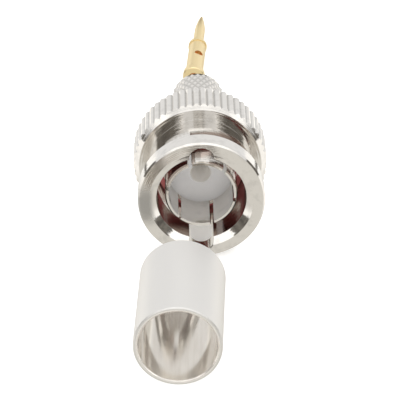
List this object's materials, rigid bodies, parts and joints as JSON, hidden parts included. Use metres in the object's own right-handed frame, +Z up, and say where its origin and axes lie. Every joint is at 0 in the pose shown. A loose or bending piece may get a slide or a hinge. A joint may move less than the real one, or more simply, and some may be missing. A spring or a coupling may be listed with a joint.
{
  "type": "bnc connector",
  "caption": "Crimp-on bayonet coaxial plug with a free-turning coupling nut, shown with its loose crimp ferrule and gold centre contact.",
  "frame": {"origin": "middle of the group's footprint, on the surface that its pieces lie on", "axes": "+Z up; +Y from the mating face to the cable end, along the plug's axis, so that the mating face looks along -Y; +X to the right seen from the mating face"},
  "size_m": [0.015, 0.0898, 0.015],
  "materials": {
    "nickel": "bright nickel plate on brass",
    "spring_steel": "bright strip",
    "tin": "satin tin plate on brass",
    "gold": "satin gold plate on brass",
    "silicone": "dark red silicone",
    "ptfe": "white fluoropolymer"
  },
  "bodies": {
    "plug": {"plug_body": "nickel", "outer_contact": "nickel", "gasket": "silicone", "front_insulator": "ptfe", "rear_insulator": "ptfe", "retaining_ring": "spring_steel", "wave_washer": "spring_steel", "crimp_ferrule": "tin", "centre_contact": "gold"},
    "nut_carrier": {"thrust_washer": "spring_steel"},
    "nut": {"coupling_nut": "nickel"}
  },
  "joints": [
    {"name": "nut_slide", "type": "slide", "parent": "plug", "child": "nut_carrier", "axis": [0, -1, 0], "range_m": [0, 0.0005], "stiffness_N_per_m": 5000, "deforming": ["wave_washer"]},
    {"name": "nut_turn", "type": "hinge", "parent": "nut_carrier", "child": "nut", "pos_m": [0, -0.00867, 0.0075], "axis": [0, -1, 0], "continuous": true}
  ]
}
